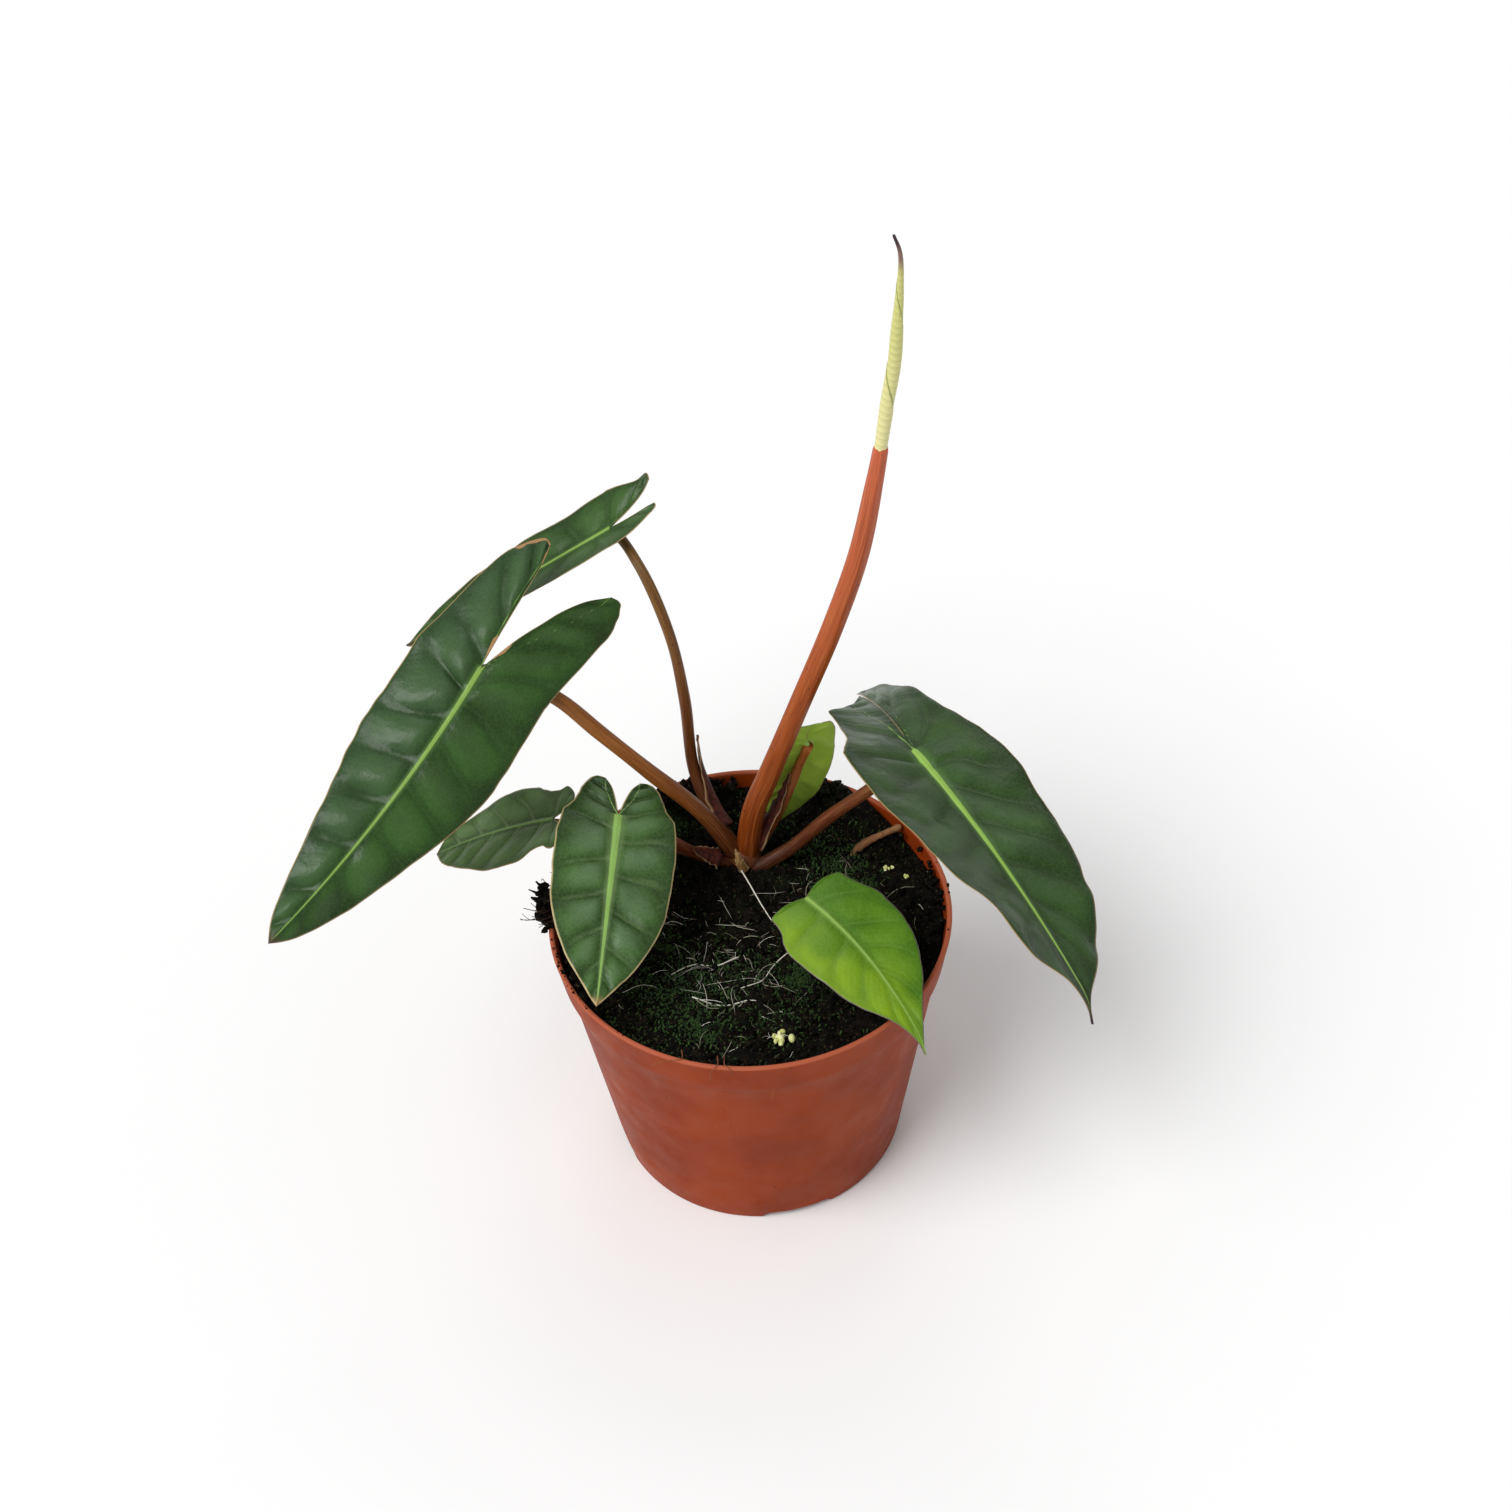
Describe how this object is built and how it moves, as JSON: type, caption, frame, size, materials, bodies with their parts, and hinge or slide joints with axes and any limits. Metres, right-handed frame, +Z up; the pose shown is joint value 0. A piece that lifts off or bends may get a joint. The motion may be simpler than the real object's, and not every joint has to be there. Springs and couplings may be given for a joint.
{
  "type": "potted philodendron",
  "caption": "Young philodendron in a terracotta-coloured plastic nursery pot, with long arrow-shaped leaves, orange petioles and a rolled new leaf.",
  "frame": {"origin": "middle of the pot's underside, on the surface it stands on", "axes": "+Z up, -Y towards the front of the plant, +X to the viewer's right"},
  "size_m": [0.2292, 0.1669, 0.2981],
  "materials": {
    "pot_plastic": "satin moulded terracotta-coloured polypropylene",
    "peat": "moist dark peat, fibrous",
    "leaf": "semi-gloss dark green leaf, light green midrib",
    "young_leaf": "semi-gloss bright green leaf",
    "rolled_leaf": "pale yellow-green rolled leaf",
    "petiole": "brown to orange smooth petiole",
    "new_petiole": "orange smooth petiole",
    "sheath": "reddish brown sheath and stem skin",
    "dry_sheath": "dry tan papery sheath",
    "root": "pale root",
    "moss": "low green moss",
    "pellet": "yellowish pellet"
  },
  "bodies": {
    "root": {"pot": "pot_plastic", "peat": "peat", "peat_clump_left": "peat", "stem": "sheath", "petiole_newest": "new_petiole", "leaf_rolled": "rolled_leaf", "sheath_rear": "sheath", "sheath_front_left": "sheath", "sheath_small_rear": "dry_sheath", "sheath_crown": "dry_sheath", "petiole_stub": "dry_sheath", "aerial_root": "root", "blade_big_left": "leaf", "petiole_big_left": "petiole", "blade_rear": "leaf", "petiole_rear": "petiole", "blade_front_left": "leaf", "petiole_front_left": "petiole", "blade_low_left": "leaf", "petiole_low_left": "petiole", "blade_right": "leaf", "petiole_right": "petiole", "blade_small_rear": "young_leaf", "petiole_small_rear": "petiole", "blade_front_right": "young_leaf", "petiole_front_right": "petiole", "root_1": "root", "root_2": "root", "root_3": "root", "root_4": "root", "root_5": "root", "root_6": "root", "surface_root_1": "root", "surface_root_2": "root", "surface_root_3": "root", "surface_root_4": "root", "moss_1": "moss", "moss_2": "moss", "moss_3": "moss", "moss_4": "moss", "moss_5": "moss", "pellet_1": "pellet", "pellet_2": "pellet", "pellet_3": "pellet"}
  },
  "joints": []
}
